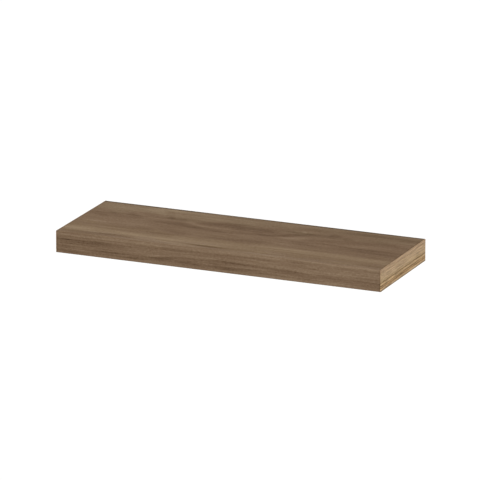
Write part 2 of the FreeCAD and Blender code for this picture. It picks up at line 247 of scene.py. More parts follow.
# Walnut decor foil: printed paper pressed on the board, matt lacquer.
# The print gives a grey-brown figure that runs along the shelf, soft at its edges; painted shade and a
# painted highlight ride in the same tone at the wall edge, the front fold and the end bands.
foil = {
    "length": 590.0,        # mm
    "depth": 200.0,
    "halfThickness": 19.0,
    # tone of the print and its colour, darkest first
    "tones": [
        (-2.0, "#3e3026"), (-1.0, "#624d39"), (-0.5, "#735d48"),
        (0.0, "#7d6751"), (0.5, "#86715a"), (1.0, "#947f67"),
    ],
    # tone across the board: mm from the wall round the front to the underside, tone; the first stops are
    # painted shade along the top's wall edge, the stops at 199 to 204 mm a painted highlight along the front
    # fold
    "bands": [
        (0, -1.3), (3.6, -1.1), (5.8, 0.08), (36, 0.12), (50, -0.12), (70, -0.15), (135, -0.15),
        (145, 0.0), (180, 0.05), (199, 0.2), (204, 0.2), (208, 0.0), (218, -0.05), (227, -0.2), (238, 0.0),
        (262, 0.1), (290, -0.2), (330, 0.25), (352, -0.15), (395, 0.2), (420, -0.1), (438, 0.0),
    ],
    # tint across the board, which noise breaks into patches: greenish at the wall, lilac, olive, lilac
    "tints": [
        (0, "#fcfffe"), (40, "#fdfffe"), (58, "#fffeff"), (130, "#fffeff"),
        (150, "#fffffb"), (174, "#fffffb"), (188, "#fefeff"), (204, "#fdfdff"),
        (238, "#fdfdff"), (300, "#fcfffd"), (350, "#fffffb"), (400, "#fffeff"),
    ],
    "tintPatch": (70.0, 16.0, 30.0),    # mm along and across a patch, mm that it strays each way
    # strokes of the figure: from (mm along, mm across) to the same, half width, lift
    "strokes": [
        # pale and dull fields near the wall
        (10, 26, 190, 30, 18, 0.25), (85, 16, 120, 24, 9, 0.3), (100, 9, 150, 10, 5, 0.3),
        (128, 18, 146, 42, 7, -0.3), (90, 11, 250, 12, 5, 0.35), (205, 28, 245, 34, 8, 0.25),
        (235, 20, 350, 22, 14, 0.1),
        (305, 30, 345, 44, 12, -0.15), (335, 30, 365, 50, 9, -0.2),
        (370, 26, 430, 28, 6, -0.35), (355, 36, 400, 40, 7, -0.2), (395, 24, 600, 26, 16, -0.4),
        (450, 19, 600, 20, 6, -0.3), (560, 28, 600, 30, 8, -0.25), (470, 47, 590, 50, 6, -0.15),
        (530, 58, 570, 62, 6, -0.25),
        # smudge at the left
        (55, 66, 95, 70, 14, -0.28), (80, 60, 92, 66, 5, -0.2), (73, 50, 80, 62, 7, -0.25),
        (36, 58, 50, 66, 6, -0.3), (-5, 70, 40, 72, 8, -0.3), (92, 46, 118, 48, 7, -0.3),
        (145, 51, 153, 57, 6, -0.4), (166, 52, 176, 58, 5, -0.25), (20, 48, 62, 55, 6, 0.2),
        (25, 81, 45, 84, 5, -0.2), (0, 93, 110, 92, 5, 0.2),
        # eye
        (236, 55, 300, 56, 12, -0.5), (244, 49, 272, 51, 6, -0.15), (206, 59, 238, 57, 8, -0.5),
        (205, 67, 300, 67, 5, -0.25), (268, 74, 300, 73, 7, -0.3), (305, 60, 340, 66, 8, -0.5),
        (308, 52, 345, 57, 5, -0.25),
        (305, 74, 328, 80, 6, -0.3), (196, 44, 226, 46, 6, 0.25), (302, 50, 314, 58, 5, 0.2),
        # pale crescent under the eye
        (184, 64, 200, 72, 5, 0.3), (198, 74, 228, 79, 4, 0.4), (226, 80, 285, 79, 4, 0.35),
        # dark bowl under it, up to the blot on the right
        (132, 82, 178, 79, 7, -0.45), (160, 90, 205, 94, 6, -0.35), (176, 80, 215, 92, 8, -0.4),
        (210, 90, 260, 97, 8, -0.45), (250, 98, 300, 92, 7, -0.3), (295, 92, 345, 84, 6, -0.3),
        (330, 87, 372, 77, 5, -0.45), (364, 74, 388, 66, 9, -0.5), (384, 62, 404, 56, 8, -0.45),
        (335, 66, 370, 70, 9, -0.15), (402, 56, 436, 50, 9, -0.5), (440, 49, 452, 50, 10, -0.6),
        (462, 52, 476, 56, 7, -0.45), (386, 40, 392, 50, 4, 0.4), (368, 49, 380, 56, 5, -0.3),
        (366, 88, 406, 80, 6, 0.45),
        # middle field
        (95, 105, 150, 110, 9, 0.2), (0, 112, 130, 116, 11, 0.25), (15, 118, 60, 119, 4, 0.25),
        (-10, 128, 60, 128, 6, 0.15), (112, 126, 142, 130, 7, -0.25), (172, 124, 212, 132, 7, -0.25),
        (140, 142, 185, 145, 5, -0.25), (60, 151, 125, 153, 4, -0.2), (296, 102, 325, 114, 8, 0.2),
        (240, 137, 300, 135, 6, -0.4), (290, 136, 350, 126, 8, -0.3),
        # dark bands at the right
        (430, 76, 520, 74, 7, -0.35), (405, 85, 455, 83, 4, -0.3), (470, 64, 600, 68, 9, -0.3),
        (455, 106, 600, 108, 12, -0.4), (505, 101, 600, 100, 4, -0.25), (490, 118, 600, 119, 5, -0.4),
        (395, 104, 435, 112, 8, -0.3), (500, 132, 600, 144, 8, -0.22), (400, 118, 480, 124, 8, -0.15),
        (500, 145, 560, 145, 4, -0.25), (300, 143, 390, 144, 3, -0.25),
        # pale band
        (-20, 168, 130, 170, 12, 0.6), (120, 170, 210, 172, 9, 0.45), (-20, 170, 40, 170, 6, 0.25),
        (90, 158, 140, 164, 8, 0.15), (195, 152, 235, 160, 7, 0.2), (150, 174, 300, 174, 7, 0.4),
        (240, 177, 300, 177, 4, 0.3), (180, 164, 310, 162, 11, 0.3), (310, 173, 350, 175, 5, 0.3),
        (340, 147, 440, 147, 5, 0.5), (300, 160, 450, 154, 12, 0.25), (430, 153, 610, 156, 11, 0.4),
        (140, 184, 225, 192, 6, 0.45), (200, 184, 245, 193, 6, 0.2), (360, 180, 405, 181, 6, 0.35),
        # along the front edge
        (75, 184, 125, 187, 5, -0.55), (240, 185, 303, 187, 4, -0.7), (370, 187, 395, 187, 4, -0.35),
        (464, 180, 474, 180, 5, -0.2), (545, 184, 590, 184, 6, -0.4), (0, 191, 100, 191, 7, -0.3),
        (245, 194, 266, 194, 4, 0.25), (330, 193, 412, 194, 4, 0.35), (375, 195, 412, 195, 3, 0.25),
        (430, 198, 590, 198, 2, 0.05), (205, 197, 240, 198, 3, 0.3),
        # the fold: a painted highlight along the edge, with darker lines beside it in places
        (-10, 204, 230, 204.5, 1.6, 0.35), (-10, 201, 190, 201, 1.4, -0.25), (420, 201, 600, 201, 1.5, 0.55),
        (200, 202.5, 420, 202.5, 1.8, 0.25), (-10, 207, 420, 207, 1.4, -0.2),
        # front face: a dark wedge that opens into a long lens
        (-10, 232.5, 130, 233, 2.5, -0.25), (460, 225, 600, 225.5, 2.5, 0.2),
        (-10, 213, 110, 214.5, 6, -0.5), (-10, 212, 60, 212.5, 2, -0.15),
        (110, 213, 240, 209, 3, -0.25), (-10, 227, 40, 229, 5, -0.25), (60, 228, 135, 230, 4, -0.3),
        (172, 225, 215, 219.5, 2, 0.45), (215, 219, 300, 215.5, 3, 0.35),
        (130, 232, 165, 231, 2.5, -0.6), (165, 230.5, 182, 228, 2.5, -0.3), (180, 229, 213, 225.5, 4, -0.7),
        (213, 223.5, 250, 220, 2, -0.45), (250, 220.5, 300, 218.5, 1.5, -0.35), (222, 228, 270, 228, 4, -0.3),
        (295, 219, 350, 219.5, 2, -0.4), (345, 220.5, 400, 220.5, 2, -0.5),
        (395, 222, 455, 223.5, 2.5, -0.45), (320, 225, 400, 224.5, 1.5, 0.45),
        (285, 228, 320, 230, 3, -0.4), (315, 231, 372, 227, 2.5, -0.4),
        (300, 208, 350, 208, 3, -0.25), (440, 213, 600, 214, 4, 0.4), (340, 214, 440, 215, 4, 0.2),
        (420, 219, 600, 220, 3, 0.2), (470, 225, 600, 225, 2.5, -0.35), (495, 228, 520, 228, 3, -0.15),
        (425, 230, 470, 231, 2.5, -0.25), (300, 234, 600, 235, 3, 0.3),
        # underside: two long lenses and pale bands between
        (40, 300, 330, 306, 10, -0.35), (120, 303, 260, 304, 4, -0.35), (300, 345, 520, 338, 9, -0.35),
        (360, 341, 470, 339, 4, -0.35), (-20, 270, 240, 262, 9, 0.3), (380, 280, 610, 288, 8, 0.35),
        (20, 352, 200, 360, 8, 0.3), (300, 392, 600, 398, 10, 0.35), (10, 404, 260, 398, 9, -0.3),
    ],
    "fade": 1.6,            # how far past its width a stroke fades out
    "core": 0.25,           # share of that way in which it keeps its full lift
    # uneven course of the fibres: mm along the grain, mm across it, mm that they stray along and across
    "drift": [(90.0, 14.0, 3.0, 0.8), (35.0, 3.0, 2.0, 0.25)],
    # streaks of the grain: mm along it, mm across it, lift each way
    "streaks": [
        (200.0, 6.0, 0.1), (110.0, 3.4, 0.32), (180.0, 1.5, 0.42),
        (60.0, 0.9, 0.6), (4.5, 3.4, 0.3), (3.0, 0.5, 0.6),
    ],
    # pores: short dark dashes, drawn a little longer and wider than in real walnut so that they show
    "pores": (7.0, 0.45),   # mm long, mm wide
    "poreLimits": (0.6, 0.7),           # of the noise, from none to a full pore
    "poreDark": 0.5,        # how much darker
    "relief": (0.04, 1.0),  # of a pore: mm deep, share of it that shows
    "glueLineAndShade": (1.0, 3.2, 0.7),         # glue at the bands, darkened further as painted contact shadow: mm where it is full and gone, how much darker
    "surface": {"Specular IOR Level": 0.03},
    "roughness": (0.66, 0.76),          # of the pale grain and of the dark
}


def makeFoil(f):
    material, tree, shader, place = startMaterial("walnut decor foil", f["surface"])
    xyz = addNode(tree, "ShaderNodeSeparateXYZ", {0: place}).outputs
    # the sheet unrolled: mm along the shelf, and mm from the wall round to the underside
    along = addNode(tree, "ShaderNodeMath", {0: xyz["X"], 1: f["length"] / 2}, operation="ADD")
    depth = addNode(tree, "ShaderNodeMath", {0: xyz["Y"], 1: -1.0}, operation="MULTIPLY")
    back = addNode(tree, "ShaderNodeMath", {0: 2 * f["depth"], 1: depth}, operation="SUBTRACT")
    below = addNode(tree, "ShaderNodeMath", {0: xyz["Z"], 1: 0.0}, operation="LESS_THAN")
    over = addNode(tree, "ShaderNodeMix", {"Factor": below, "A": depth, "B": back}, data_type="FLOAT")
    drop = addNode(tree, "ShaderNodeMath", {0: f["halfThickness"], 1: xyz["Z"]}, operation="SUBTRACT")
    across = addNode(tree, "ShaderNodeMath", {0: over, 1: drop}, operation="ADD")
    sheet = addNode(tree, "ShaderNodeCombineXYZ", {"X": along, "Y": across})

    # uneven drift of the fibres
    drifted = sheet
    for length, width, reachAlong, reachAcross in f["drift"]:
        noise = stretchedNoise(tree, sheet, (length, width, 1.0))
        drifted = addSwings(tree, drifted, noise, (reachAlong, reachAcross, 0.0))

    # bands across the board, on a ramp that holds tones from -2 to 2
    cut = addNode(tree, "ShaderNodeSeparateXYZ", {0: drifted}).outputs
    last = f["bands"][-1][0]
    share = addNode(tree, "ShaderNodeMath", {0: cut["Y"], 1: 1 / last}, operation="MULTIPLY")
    bands = addNode(
        tree, "ShaderNodeValToRGB", {0: share},
        stops=[(mm / last, 0.5 + tone / 4) for mm, tone in f["bands"]],
    )
    tone = addNode(tree, "ShaderNodeMath", {0: bands, 1: 4.0, 2: -2.0}, operation="MULTIPLY_ADD")

    # each stroke adds to the tone, which rides in Z, so that one follows from the last;
    # a huge scale in Z keeps the tone out of the distance from the stroke's middle
    flat = 1e6
    figure = addNode(tree, "ShaderNodeCombineXYZ", {"X": cut["X"], "Y": cut["Y"], "Z": tone})
    for x0, y0, x1, y1, width, lift in f["strokes"]:
        half = (math.hypot(x1 - x0, y1 - y0) + width) / 2
        tilt = math.atan2(y1 - y0, x1 - x0)
        local = addNode(tree, "ShaderNodeMapping", {
            "Vector": figure, "Location": ((x0 + x1) / 2, (y0 + y1) / 2, 0.0),
            "Rotation": (0.0, 0.0, tilt), "Scale": (f["fade"] * half, f["fade"] * width, flat),
        }, vector_type="TEXTURE")
        away = addNode(tree, "ShaderNodeVectorMath", {0: local}, operation="LENGTH").outputs["Value"]
        soft = addNode(tree, "ShaderNodeMapRange", {
            "Value": away, "From Min": f["core"], "From Max": 1.0, "To Min": lift, "To Max": 0.0,
        }, interpolation_type="SMOOTHSTEP")
        figure = addNode(
            tree, "ShaderNodeVectorMath", {0: soft, 1: (0.0, 0.0, 1.0), 2: figure}, operation="MULTIPLY_ADD"
        )
    tone = addNode(tree, "ShaderNodeSeparateXYZ", {0: figure}).outputs["Z"]

    for length, width, lift in f["streaks"]:
        tone = addSwing(tree, tone, stretchedNoise(tree, drifted, (length, width, 1.0)), lift)

    tone, sunk = addPores(tree, drifted, (*f["pores"], 1.0), f, tone)
    # the hairline where the foil meets an end band: a glue line, darkened further as painted contact shadow
    solid, gone, lift = f["glueLineAndShade"]
    rest = addNode(tree, "ShaderNodeMath", {0: f["length"], 1: along}, operation="SUBTRACT")
    inward = addNode(tree, "ShaderNodeMath", {0: along, 1: rest}, operation="MINIMUM")
    line = addNode(tree, "ShaderNodeMapRange", {
        "Value": inward, "From Min": solid, "From Max": gone, "To Min": lift, "To Max": 0.0,
    })
    tone = addNode(tree, "ShaderNodeMath", {0: tone, 1: line}, operation="SUBTRACT")

    tones = f["tones"]
    first, final = tones[0][0], tones[-1][0]
    spread = addNode(tree, "ShaderNodeMapRange", {"Value": tone, "From Min": first, "From Max": final})
    colour = addNode(
        tree, "ShaderNodeValToRGB", {0: spread}, stops=[((t - first) / (final - first), c) for t, c in tones]
    )
    # the tint strays up and down the board in patches
    length, width, stray = f["tintPatch"]
    strayed = addSwing(tree, share, stretchedNoise(tree, sheet, (length, width, 1.0), 1.0), stray / last)
    tint = addNode(tree, "ShaderNodeValToRGB", {0: strayed}, stops=[(mm / last, c) for mm, c in f["tints"]])
    printed = addNode(tree, "ShaderNodeVectorMath", {0: colour, 1: tint}, operation="MULTIPLY")
    pale, dark = f["roughness"]
    rough = addNode(tree, "ShaderNodeMapRange", {
        "Value": tone, "From Min": 1.0, "From Max": -1.0, "To Min": pale, "To Max": dark,
    })
    finishSurface(tree, shader, {"Base Color": printed, "Roughness": rough}, sunk, f["relief"])
    return material


dress(makeFoil(foil), "decor_wrap")
print("foil printed")

# Edge band: a wood decor on thin plastic, coloured paler than the foil, satin, its lines level along the
# depth
band = {
    "thickness": 38.0,
    # height above the underside in mm, colour
    "lines": [
        (0.0, "#806a4a"), (1.8, "#8a7150"), (2.7, "#b89b75"), (4.8, "#be9f77"), (5.6, "#8b683f"),
        (6.8, "#8b683f"), (7.5, "#a98960"), (8.3, "#a98960"), (8.8, "#7f643f"), (9.5, "#7f643f"),
        (10.2, "#ad9068"), (10.8, "#b4966e"), (12.4, "#b79971"), (13.6, "#b0936b"), (14.1, "#765d3b"),
        (14.9, "#765d3b"), (15.6, "#9f835d"), (17.0, "#ad926d"), (19.0, "#ae9370"), (21.2, "#b59a77"),
        (23.5, "#ac9170"), (26.0, "#b29674"), (28.6, "#b59a78"), (31.0, "#a98d6c"), (32.6, "#a68a69"),
        (34.6, "#b7997a"), (36.6, "#a88c6c"), (38.0, "#a5896a"),
    ],
    "wobble": (60.0, 9.0, 0.6),         # mm along, mm up, mm that a line strays from level
    # streaks of the grain: mm along it, mm across it, how much paler or darker
    "streaks": [(160.0, 2.2, 0.075), (45.0, 1.3, 0.6), (14.0, 0.9, 0.4), (5.0, 1.3, 0.275)],
    "quieter": (14.0, 19.0, 0.65),      # between these heights in mm the grain calms to this share
    "hue": (18.0, 1.2, 0.04, 0.06),     # mm along, mm across, how far red and blue stray
    "pores": (5.0, 0.35),   # mm long, mm wide
    "poreLimits": (0.62, 0.72),         # of the noise, from none to a full pore
    "poreDark": 0.1,        # how much darker
    "relief": (0.03, 1.0),  # of a pore: mm deep, share of it that shows
    "surface": {"Specular IOR Level": 0.05},
    "roughness": (0.44, 0.58),          # of the pale grain and of the dark
}


def makeBand(b):
    material, tree, shader, place = startMaterial("satin wood decor edge band", b["surface"])
    thick = b["thickness"]
    length, width, reach = b["wobble"]
    height = addNode(tree, "ShaderNodeSeparateXYZ", {0: place}).outputs["Z"]
    # held to the reach, so that no line strays further
    stray = addNode(tree, "ShaderNodeMapRange", {
        "Value": stretchedNoise(tree, place, (1.0, length, width), 1.0),
        "From Min": 0.25, "From Max": 0.75, "To Min": -reach, "To Max": reach,
    })
    height = addNode(tree, "ShaderNodeMath", {0: height, 1: stray}, operation="ADD")
    share = addNode(tree, "ShaderNodeMath", {0: height, 1: 1 / thick, 2: 0.5}, operation="MULTIPLY_ADD")
    stops = [(mm / thick, line) for mm, line in b["lines"]]
    colour = addNode(tree, "ShaderNodeValToRGB", {0: share}, stops=stops)
    grain = 0.0
    for length, width, lift in b["streaks"]:
        grain = addSwing(tree, grain, stretchedNoise(tree, place, (1.0, length, width)), lift)
    low, high, calm = b["quieter"]
    force = addNode(tree, "ShaderNodeMapRange", {
        "Value": share, "From Min": low / thick, "From Max": high / thick, "To Min": 1.0, "To Max": calm,
    })
    shade = addNode(tree, "ShaderNodeMath", {0: grain, 1: force, 2: 1.0}, operation="MULTIPLY_ADD")
    shade, sunk = addPores(tree, place, (1.0, *b["pores"]), b, shade)
    # here and there a line is redder or greyer
    length, width, red, blue = b["hue"]
    tint = addSwings(tree, shade, stretchedNoise(tree, place, (1.0, length, width), 1.0), (red, 0.0, blue))
    printed = addNode(tree, "ShaderNodeVectorMath", {0: colour, 1: tint}, operation="MULTIPLY")
    pale, dark = b["roughness"]
    rough = addNode(tree, "ShaderNodeMapRange", {
        "Value": shade, "From Min": 1.2, "From Max": 0.8, "To Min": pale, "To Max": dark,
    })
    finishSurface(tree, shader, {"Base Color": printed, "Roughness": rough}, sunk, b["relief"])
    return material


dress(makeBand(band), "left_edge_band", "right_edge_band")
print("edge bands done")

# Fibreboard skins: dry-pressed wood fibre, seen only at their rear edges and in the inserts' holes.
# Pressing leaves it dense and dark near both faces and paler, felted, in the middle.
skins = {
    "inner": 15.6,          # mm from the shelf's middle to each face of a skin
    "outer": 18.6,
    "layers": [(0.0, "#7d6244"), (0.2, "#9c7f5c"), (0.5, "#ab8e69"), (0.8, "#9c7f5c"), (1.0, "#7d6244")],
    "fibre": (1.6, 0.25),   # mm flat in the skin and through it
    "shade": (0.78, 1.18),  # of the dark fibres and of the pale
    "roughness": (0.92, 0.76),          # of the same
    "surface": {"Specular IOR Level": 0.1},
    "relief": (0.2, 0.6),   # mm deep, share of it that shows
}


def makeFibreboard(k):
    material, tree, shader, place = startMaterial("pressed fibreboard", k["surface"])
    height = addNode(tree, "ShaderNodeSeparateXYZ", {0: place}).outputs["Z"]
    height = addNode(tree, "ShaderNodeMath", {0: height}, operation="ABSOLUTE")
    share = addNode(tree, "ShaderNodeMapRange", {
        "Value": height, "From Min": k["inner"], "From Max": k["outer"],
    })
    layer = addNode(tree, "ShaderNodeValToRGB", {0: share}, stops=k["layers"])
    length, width = k["fibre"]
    fibre = stretchedNoise(tree, place, (length, length, width), 4.0, 0.7)
    dark, pale = k["shade"]
    shade = addNode(tree, "ShaderNodeMapRange", {
        "Value": fibre, "From Min": 0.25, "From Max": 0.75, "To Min": dark, "To Max": pale,
    })
    felt = addNode(tree, "ShaderNodeVectorMath", {0: layer, "Scale": shade}, operation="SCALE")
    dull, smooth = k["roughness"]
    rough = addNode(tree, "ShaderNodeMapRange", {
        "Value": shade, "From Min": dark, "From Max": pale, "To Min": dull, "To Max": smooth,
    })
    finishSurface(tree, shader, {"Base Color": felt, "Roughness": rough}, fibre, k["relief"])
    return material


dress(makeFibreboard(skins), "top_skin", "bottom_skin")

# Chipboard strips: sawn through, so each face shows the cut ends and sides of flakes that lie flat
# in the board, pale pine to brown, without outlines, and small dark gaps where flakes don't meet.
chips = {
    # mm flat in the board and through it, how much each size of flake changes the tone
    "flakes": [((6.5, 6.5, 1.1), 0.55), ((2.8, 2.8, 0.6), 0.45), ((1.0, 1.0, 0.3), 0.3)],
    "tones": [(0.0, "#7d5f3d"), (0.3, "#a4855b"), (0.5, "#bb9c70"), (0.7, "#cdb189"), (1.0, "#d9c19c")],
    "wander": (1.5, 1.5, 2.4),          # mm that the flakes' outlines stray
    "wanderCell": (4.0, 4.0, 4.0),      # mm, how finely they do
    "gap": (3.2, 3.2, 0.8),             # mm, size of the gaps
    "gapLimits": (0.6, 0.66),           # of the noise, from none to a full gap
    "gapColour": "#4d3a26",
    "surface": {"Roughness": 0.9, "Specular IOR Level": 0.1},
    "relief": (0.3, 0.6),   # mm deep, share of it that shows
}


def makeChipboard(c):
    material, tree, shader, place = startMaterial("sawn chipboard", c["surface"])
    noise = stretchedNoise(tree, place, c["wanderCell"]).outputs["Color"]
    bent = addNode(
        tree, "ShaderNodeVectorMath", {0: noise, 1: c["wander"], 2: place}, operation="MULTIPLY_ADD"
    )
    tone = 0.5
    for size, weight in c["flakes"]:
        fitted = addNode(tree, "ShaderNodeVectorMath", {0: bent, 1: size}, operation="DIVIDE")
        cell = addNode(tree, "ShaderNodeTexVoronoi", {"Vector": fitted, "Scale": 1.0}).outputs["Color"]
        pick = addNode(tree, "ShaderNodeSeparateColor", {0: cell}).outputs["Red"]
        pick = addNode(tree, "ShaderNodeMath", {0: pick, 1: 0.5}, operation="SUBTRACT")
        tone = addNode(tree, "ShaderNodeMath", {0: pick, 1: weight, 2: tone}, operation="MULTIPLY_ADD")
    flake = addNode(tree, "ShaderNodeValToRGB", {0: tone}, stops=c["tones"])
    none, full = c["gapLimits"]
    noise = stretchedNoise(tree, bent, c["gap"])
    gap = addNode(tree, "ShaderNodeMapRange", {"Value": noise, "From Min": none, "From Max": full})
    colour = addNode(
        tree, "ShaderNodeMix", {"Factor": gap, "A": flake, "B": linear(c["gapColour"])}, data_type="RGBA"
    ).outputs[2]
    raised = addNode(tree, "ShaderNodeMath", {0: gap, 1: -1.0, 2: tone}, operation="MULTIPLY_ADD")
    finishSurface(tree, shader, {"Base Color": colour}, raised, c["relief"])
    return material


chipboard = makeChipboard(chips)
dress(chipboard, "front_rail", "rear_rail", "left_end_rail", "right_end_rail")
dress(chipboard, "left_rod_block", "right_rod_block")

# Kraft paper core: unbleached fibre, matt, with faint ribs from the paper machine.
paper = {
    "tones": [(0.35, "#94744f"), (0.75, "#b39472")],
    "fibre": 10 / 9,        # mm
    "rib": 1.2,             # mm
    "ribShare": 0.15,       # beside the fibres
    "surface": {"Roughness": 0.9, "Specular IOR Level": 0.1},
    "relief": (0.1, 0.5),   # mm deep, share of it that shows
}


def makePaper(p):
    material, tree, shader, place = startMaterial("brown kraft paper", p["surface"])
    fibre = stretchedNoise(tree, place, [p["fibre"]] * 3, 5.0, 0.7)
    ribs = addNode(tree, "ShaderNodeTexWave", {
        "Vector": place, "Scale": 1 / p["rib"], "Distortion": 0.6,
    }, bands_direction="Z")
    both = addNode(tree, "ShaderNodeMath", {0: ribs, 1: p["ribShare"], 2: fibre}, operation="MULTIPLY_ADD")
    colour = addNode(tree, "ShaderNodeValToRGB", {0: both}, stops=p["tones"])
    finishSurface(tree, shader, {"Base Color": colour}, both, p["relief"])
    return material


dress(makePaper(paper), "honeycomb_core")

# Metals. Each is bare or plated, so one recipe serves them all: fine marks that the tool left along or
# round the piece, drawn about three times as coarse as real ones so that they show, and slow patches
# where the surface is a little duller. mark and patch are their sizes in mm, relief the marks' depth in mm
# and the share of it that shows, axis the place in mm of the screws' and inserts' axis beside the shelf's
# middle and from the wall.
metals = {
    # rolled flat bar with bright zinc: cool grey, faintly clouded, rolled along its length
    "bright zinc plate on flat bar": {
        "colour": "#b2b7bb", "cloud": "#a8aeb3", "roughness": (0.28, 0.42),
        "mark": (60.0, 3.0, 0.4), "patch": 9.0, "relief": (0.04, 0.4),
    },
    # cold-drawn rod, zinc plated: fine lines along it from the die
    "drawn steel rod, zinc plated": {
        "colour": "#b5b8b9", "cloud": "#a7abad", "roughness": (0.24, 0.36),
        "mark": (0.4, 60.0, 0.4), "patch": 12.0, "relief": (0.02, 0.4),
    },
    # galvanised staple wire: dull grey, drawn
    "galvanised wire": {
        "colour": "#b9bbbb", "cloud": "#9a9e9f", "roughness": (0.35, 0.5),
        "mark": (3.0, 0.3, 3.0), "patch": 4.0, "relief": (0.02, 0.4),
    },
    # free-turned brass: warm yellow, with rings round its axis from the lathe
    "turned brass": {
        "colour": "#d9bd80", "cloud": "#ccae72", "roughness": (0.2, 0.34),
        "mark": (0.35, 1.0, 0.35), "patch": 5.0, "relief": (0.03, 0.4), "axis": (200.0, 70.0),
    },
    # black oxide on hardened steel: near black, a little brown, soft oily gloss
    "black oxide on steel": {
        "colour": "#2f2e2e", "cloud": "#3a3734", "roughness": (0.32, 0.46),
        "mark": (0.4, 1.0, 0.25), "patch": 3.0, "relief": (0.015, 0.4), "axis": (200.0, 70.0),
    },
}


def makeMetal(name):
    m = metals[name]
    material, tree, shader, place = startMaterial(name, {"Metallic": 1.0})
    along = place
    if "axis" in m:
        # distance from the axis of the piece on this side of the shelf, then height
        flat = addNode(tree, "ShaderNodeVectorMath", {0: place}, operation="ABSOLUTE")
        flat = addNode(tree, "ShaderNodeVectorMath", {0: flat, 1: (*m["axis"], 0.0)}, operation="SUBTRACT")
        flat = addNode(tree, "ShaderNodeVectorMath", {0: flat, 1: (1.0, 1.0, 0.0)}, operation="MULTIPLY")
        away = addNode(tree, "ShaderNodeVectorMath", {0: flat}, operation="LENGTH").outputs["Value"]
        height = addNode(tree, "ShaderNodeSeparateXYZ", {0: place}).outputs["Z"]
        along = addNode(tree, "ShaderNodeCombineXYZ", {"X": away, "Z": height})
    marks = stretchedNoise(tree, along, m["mark"], 3.0, 0.6)
    cloud = stretchedNoise(tree, place, [m["patch"]] * 3, 3.0)
    # the noise values between which the colour, then the roughness, change
    clear, clouded = 0.35, 0.65
    smooth, worked = 0.15, 0.35
    colour = addNode(
        tree, "ShaderNodeValToRGB", {0: cloud}, stops=[(clear, m["colour"]), (clouded, m["cloud"])]
    )
    mixed = addNode(tree, "ShaderNodeMath", {0: marks, 1: cloud}, operation="MULTIPLY")
    least, most = m["roughness"]
    rough = addNode(tree, "ShaderNodeMapRange", {
        "Value": mixed, "From Min": smooth, "From Max": worked, "To Min": least, "To Max": most,
    })
    finishSurface(tree, shader, {"Base Color": colour, "Roughness": rough}, marks, m["relief"])
    return material


dress(makeMetal("bright zinc plate on flat bar"), "bracket_bar")
dress(makeMetal("drawn steel rod, zinc plated"), "left_rod", "right_rod")
dress(makeMetal("galvanised wire"), "frame_staples")
brass = makeMetal("turned brass")
blackSteel = makeMetal("black oxide on steel")
print("hidden pieces dressed")


def startTree(name, sizes):
    # a Geometry Nodes tree with named inputs: numbers, places and a material
    tree = bpy.data.node_groups.new(name, "GeometryNodeTree")
    tree.interface.new_socket("Geometry", in_out="INPUT", socket_type="NodeSocketGeometry")
    kinds = {float: "NodeSocketFloat", int: "NodeSocketInt", tuple: "NodeSocketVector"}
    for socket, value in sizes.items():
        made = tree.interface.new_socket(socket, in_out="INPUT", socket_type=kinds[type(value)])
        made.default_value = value
    tree.interface.new_socket("Material", in_out="INPUT", socket_type="NodeSocketMaterial")
    tree.interface.new_socket("Geometry", in_out="OUTPUT", socket_type="NodeSocketGeometry")
    return tree, addNode(tree, "NodeGroupInput").outputs


def endTree(tree, geometry, given):
    real = addNode(tree, "GeometryNodeRealizeInstances", {"Geometry": geometry})
    finished = addNode(tree, "GeometryNodeSetMaterial", {"Geometry": real, "Material": given["Material"]})
    addNode(tree, "NodeGroupOutput", {"Geometry": finished})
    return tree


def settle(piece, modifier):
    # evaluates once, keeps the result as a plain mesh and takes the modifier off
    graph = bpy.context.evaluated_depsgraph_get()
    shaped = piece.evaluated_get(graph)
    mesh = bpy.data.meshes.new_from_object(shaped, preserve_all_data_layers=True, depsgraph=graph)
    piece.modifiers.remove(modifier)
    piece.data = mesh


def runTree(piece, tree, sizes, material):
    modifier = piece.modifiers.new("shape", "NODES")
    modifier.node_group = tree
    for item in tree.interface.items_tree:
        if item.in_out == "INPUT" and item.name in sizes:
            modifier[item.identifier] = sizes[item.name]
        elif item.in_out == "INPUT" and item.name == "Material":
            modifier[item.identifier] = material
    settle(piece, modifier)


def newPiece(name, points, faces, centre=(0.0, 0.0)):
    # points in mm about the centre
    mesh = bpy.data.meshes.new(name)
    across, back = centre
    mesh.from_pydata([((across + x) / 1000, (back + y) / 1000, z / 1000) for x, y, z in points], [], faces)
    piece = bpy.data.objects.new(name, mesh)
    bpy.context.collection.objects.link(piece)
    return piece


# Proud flakes on the sawn face of the rear rail, which shows behind the bracket: slivers with a
# bevelled rim, scattered level over the face and clear of the two rod bores
flakes = {
    # inputs of the tree: mm, and radians that a flake leans at most
    "inputs": {"length": 6.0, "width": 1.0, "proud": 0.35, "spacing": 2.3, "lean": 0.2, "seed": 11},
    # least and most of each size that a flake takes, and the seed that picks it
    "shares": {"length": (0.35, 1.0, 3), "width": (0.5, 1.3, 4), "proud": (0.3, 1.0, 5)},
    "leanSeed": 8,
    "toneSeed": 9,
    # mm left free at the rail's ends, along its edges and each way from a bore's axis
    "endClear": 4.0, "edgeClear": 1.5, "boreClear": 8.5,
    "boreAcross": 200.0,    # mm each side of the shelf's middle
    "fibre": (10 / 3, 0.5, 0.25),       # mm along a flake, across it and through it
    "fibreLift": 0.15,      # how much a fibre changes the tone
    "surface": {"Roughness": 0.85, "Specular IOR Level": 0.1},
    "relief": (0.1, 0.5),   # mm deep, share of it that shows
}


def makeFlakeWood(k):
    # pine flakes: each of one tone, with fine fibres along it
    material, tree, shader, place = startMaterial("cut pine flakes", k["surface"])
    own = addNode(tree, "ShaderNodeAttribute", attribute_name="tone").outputs["Fac"]
    fibre = stretchedNoise(tree, place, k["fibre"], 3.0)
    tone = addSwing(tree, own, fibre, k["fibreLift"])
    colour = addNode(tree, "ShaderNodeValToRGB", {0: tone}, stops=chips["tones"])
    finishSurface(tree, shader, {"Base Color": colour}, fibre, k["relief"])
    return material


